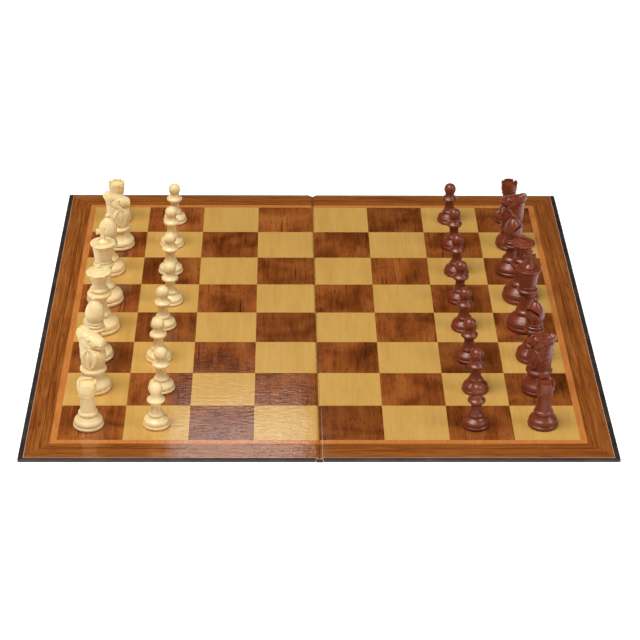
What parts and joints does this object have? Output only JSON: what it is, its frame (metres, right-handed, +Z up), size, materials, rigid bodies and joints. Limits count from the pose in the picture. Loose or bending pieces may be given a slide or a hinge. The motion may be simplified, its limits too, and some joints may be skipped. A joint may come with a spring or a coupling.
{
  "type": "chess set",
  "caption": "Folding chessboard of cloth-backed grey board with a wood-look printed label, set with cream and brown hollow turned-look plastic chessmen.",
  "frame": {"origin": "middle of the open board's underside, on the table", "axes": "+X right along the rows from the light side to the dark side, +Y away from the front edge, +Z up; metres"},
  "size_m": [0.4, 0.4, 0.0649],
  "materials": {
    "grey_board": "raw grey chipboard, matte",
    "cover_paper": "black embossed leatherette paper, semi-matte",
    "printed_label": "wood-look print under a glossy coating",
    "cream_plastic": "moulded plastic, semi-gloss",
    "brown_plastic": "moulded plastic, glossy"
  },
  "bodies": {
    "spine": {"spine_cover_strip": "cover_paper", "spine_label_strip": "printed_label"},
    "left_half": {"left_board_panel": "grey_board", "left_cover_wrap": "cover_paper", "left_printed_label": "printed_label"},
    "right_half": {"right_board_panel": "grey_board", "right_cover_wrap": "cover_paper", "right_printed_label": "printed_label"},
    "light_rook_front": {"light_rook_front": "cream_plastic"},
    "light_knight_front": {"light_knight_front": "cream_plastic"},
    "light_bishop_front": {"light_bishop_front": "cream_plastic"},
    "light_queen": {"light_queen": "cream_plastic"},
    "light_king": {"light_king": "cream_plastic"},
    "light_bishop_back": {"light_bishop_back": "cream_plastic"},
    "light_knight_back": {"light_knight_back": "cream_plastic"},
    "light_rook_back": {"light_rook_back": "cream_plastic"},
    "light_pawn_1": {"light_pawn_1": "cream_plastic"},
    "light_pawn_2": {"light_pawn_2": "cream_plastic"},
    "light_pawn_3": {"light_pawn_3": "cream_plastic"},
    "light_pawn_4": {"light_pawn_4": "cream_plastic"},
    "light_pawn_5": {"light_pawn_5": "cream_plastic"},
    "light_pawn_6": {"light_pawn_6": "cream_plastic"},
    "light_pawn_7": {"light_pawn_7": "cream_plastic"},
    "light_pawn_8": {"light_pawn_8": "cream_plastic"},
    "dark_rook_front": {"dark_rook_front": "brown_plastic"},
    "dark_knight_front": {"dark_knight_front": "brown_plastic"},
    "dark_bishop_front": {"dark_bishop_front": "brown_plastic"},
    "dark_king": {"dark_king": "brown_plastic"},
    "dark_queen": {"dark_queen": "brown_plastic"},
    "dark_bishop_back": {"dark_bishop_back": "brown_plastic"},
    "dark_knight_back": {"dark_knight_back": "brown_plastic"},
    "dark_rook_back": {"dark_rook_back": "brown_plastic"},
    "dark_pawn_1": {"dark_pawn_1": "brown_plastic"},
    "dark_pawn_2": {"dark_pawn_2": "brown_plastic"},
    "dark_pawn_3": {"dark_pawn_3": "brown_plastic"},
    "dark_pawn_4": {"dark_pawn_4": "brown_plastic"},
    "dark_pawn_5": {"dark_pawn_5": "brown_plastic"},
    "dark_pawn_6": {"dark_pawn_6": "brown_plastic"},
    "dark_pawn_7": {"dark_pawn_7": "brown_plastic"},
    "dark_pawn_8": {"dark_pawn_8": "brown_plastic"}
  },
  "joints": [
    {"name": "left_fold", "type": "hinge", "parent": "spine", "child": "left_half", "pos_m": [-0.0025, 0, 0.0009], "axis": [0, 1, 0], "range_deg": [0, 90]},
    {"name": "right_fold", "type": "hinge", "parent": "spine", "child": "right_half", "pos_m": [0.0025, 0, 0.0009], "axis": [0, 1, 0], "range_deg": [-90, 0]},
    {"name": "light_rook_front_lift", "type": "slide", "parent": "left_half", "child": "light_rook_front", "axis": [0, 0, 1], "range_m": [0, 0.065]},
    {"name": "light_knight_front_lift", "type": "slide", "parent": "left_half", "child": "light_knight_front", "axis": [0, 0, 1], "range_m": [0, 0.065]},
    {"name": "light_bishop_front_lift", "type": "slide", "parent": "left_half", "child": "light_bishop_front", "axis": [0, 0, 1], "range_m": [0, 0.065]},
    {"name": "light_queen_lift", "type": "slide", "parent": "left_half", "child": "light_queen", "axis": [0, 0, 1], "range_m": [0, 0.065]},
    {"name": "light_king_lift", "type": "slide", "parent": "left_half", "child": "light_king", "axis": [0, 0, 1], "range_m": [0, 0.065]},
    {"name": "light_bishop_back_lift", "type": "slide", "parent": "left_half", "child": "light_bishop_back", "axis": [0, 0, 1], "range_m": [0, 0.065]},
    {"name": "light_knight_back_lift", "type": "slide", "parent": "left_half", "child": "light_knight_back", "axis": [0, 0, 1], "range_m": [0, 0.065]},
    {"name": "light_rook_back_lift", "type": "slide", "parent": "left_half", "child": "light_rook_back", "axis": [0, 0, 1], "range_m": [0, 0.065]},
    {"name": "light_pawn_1_lift", "type": "slide", "parent": "left_half", "child": "light_pawn_1", "axis": [0, 0, 1], "range_m": [0, 0.065]},
    {"name": "light_pawn_2_lift", "type": "slide", "parent": "left_half", "child": "light_pawn_2", "axis": [0, 0, 1], "range_m": [0, 0.065]},
    {"name": "light_pawn_3_lift", "type": "slide", "parent": "left_half", "child": "light_pawn_3", "axis": [0, 0, 1], "range_m": [0, 0.065]},
    {"name": "light_pawn_4_lift", "type": "slide", "parent": "left_half", "child": "light_pawn_4", "axis": [0, 0, 1], "range_m": [0, 0.065]},
    {"name": "light_pawn_5_lift", "type": "slide", "parent": "left_half", "child": "light_pawn_5", "axis": [0, 0, 1], "range_m": [0, 0.065]},
    {"name": "light_pawn_6_lift", "type": "slide", "parent": "left_half", "child": "light_pawn_6", "axis": [0, 0, 1], "range_m": [0, 0.065]},
    {"name": "light_pawn_7_lift", "type": "slide", "parent": "left_half", "child": "light_pawn_7", "axis": [0, 0, 1], "range_m": [0, 0.065]},
    {"name": "light_pawn_8_lift", "type": "slide", "parent": "left_half", "child": "light_pawn_8", "axis": [0, 0, 1], "range_m": [0, 0.065]},
    {"name": "dark_rook_front_lift", "type": "slide", "parent": "right_half", "child": "dark_rook_front", "axis": [0, 0, 1], "range_m": [0, 0.065]},
    {"name": "dark_knight_front_lift", "type": "slide", "parent": "right_half", "child": "dark_knight_front", "axis": [0, 0, 1], "range_m": [0, 0.065]},
    {"name": "dark_bishop_front_lift", "type": "slide", "parent": "right_half", "child": "dark_bishop_front", "axis": [0, 0, 1], "range_m": [0, 0.065]},
    {"name": "dark_king_lift", "type": "slide", "parent": "right_half", "child": "dark_king", "axis": [0, 0, 1], "range_m": [0, 0.065]},
    {"name": "dark_queen_lift", "type": "slide", "parent": "right_half", "child": "dark_queen", "axis": [0, 0, 1], "range_m": [0, 0.065]},
    {"name": "dark_bishop_back_lift", "type": "slide", "parent": "right_half", "child": "dark_bishop_back", "axis": [0, 0, 1], "range_m": [0, 0.065]},
    {"name": "dark_knight_back_lift", "type": "slide", "parent": "right_half", "child": "dark_knight_back", "axis": [0, 0, 1], "range_m": [0, 0.065]},
    {"name": "dark_rook_back_lift", "type": "slide", "parent": "right_half", "child": "dark_rook_back", "axis": [0, 0, 1], "range_m": [0, 0.065]},
    {"name": "dark_pawn_1_lift", "type": "slide", "parent": "right_half", "child": "dark_pawn_1", "axis": [0, 0, 1], "range_m": [0, 0.065]},
    {"name": "dark_pawn_2_lift", "type": "slide", "parent": "right_half", "child": "dark_pawn_2", "axis": [0, 0, 1], "range_m": [0, 0.065]},
    {"name": "dark_pawn_3_lift", "type": "slide", "parent": "right_half", "child": "dark_pawn_3", "axis": [0, 0, 1], "range_m": [0, 0.065]},
    {"name": "dark_pawn_4_lift", "type": "slide", "parent": "right_half", "child": "dark_pawn_4", "axis": [0, 0, 1], "range_m": [0, 0.065]},
    {"name": "dark_pawn_5_lift", "type": "slide", "parent": "right_half", "child": "dark_pawn_5", "axis": [0, 0, 1], "range_m": [0, 0.065]},
    {"name": "dark_pawn_6_lift", "type": "slide", "parent": "right_half", "child": "dark_pawn_6", "axis": [0, 0, 1], "range_m": [0, 0.065]},
    {"name": "dark_pawn_7_lift", "type": "slide", "parent": "right_half", "child": "dark_pawn_7", "axis": [0, 0, 1], "range_m": [0, 0.065]},
    {"name": "dark_pawn_8_lift", "type": "slide", "parent": "right_half", "child": "dark_pawn_8", "axis": [0, 0, 1], "range_m": [0, 0.065]}
  ]
}
